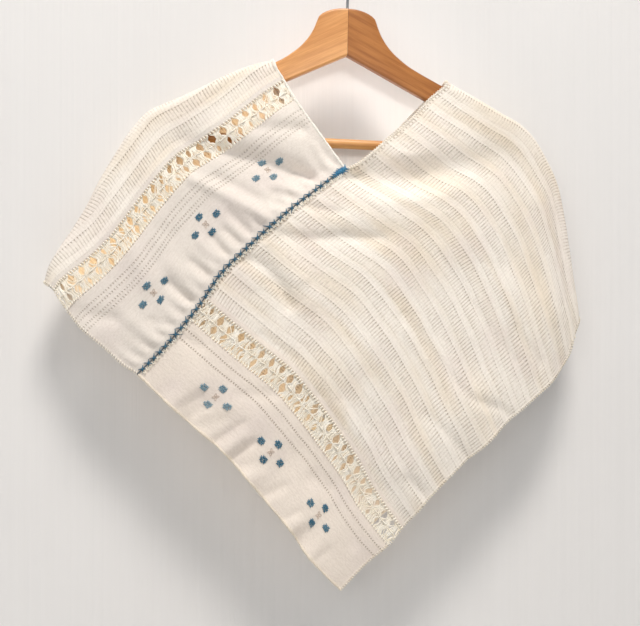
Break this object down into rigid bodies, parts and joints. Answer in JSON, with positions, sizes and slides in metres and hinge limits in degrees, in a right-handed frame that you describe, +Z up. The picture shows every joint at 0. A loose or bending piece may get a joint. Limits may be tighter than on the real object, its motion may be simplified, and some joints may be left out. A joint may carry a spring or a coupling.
{
  "type": "poncho on hanger",
  "caption": "Two-web handwoven cotton poncho, diagonal joining, openwork bands and embroidered sprigs, hung on a contoured wooden hanger.",
  "frame": {"origin": "inside top of the hook, where it rests on a rail", "axes": "+X along the hanger to the viewer's right, +Y away from the viewer, towards the garment's back, +Z up"},
  "size_m": [0.6028, 0.0719, 0.7051],
  "materials": {
    "cotton": "undyed handwoven cotton, matte, slubbed",
    "blue_thread": "blue cotton embroidery thread",
    "hanger_wood": "oiled light hardwood, satin",
    "hook_wire": "grey steel wire"
  },
  "bodies": {
    "root": {"web_left": "cotton", "web_right": "cotton", "joining_front": "blue_thread", "joining_back": "blue_thread", "hanger_left": "hanger_wood", "hanger_right": "hanger_wood", "hanger_bar": "hanger_wood", "hook": "hook_wire"}
  },
  "joints": []
}
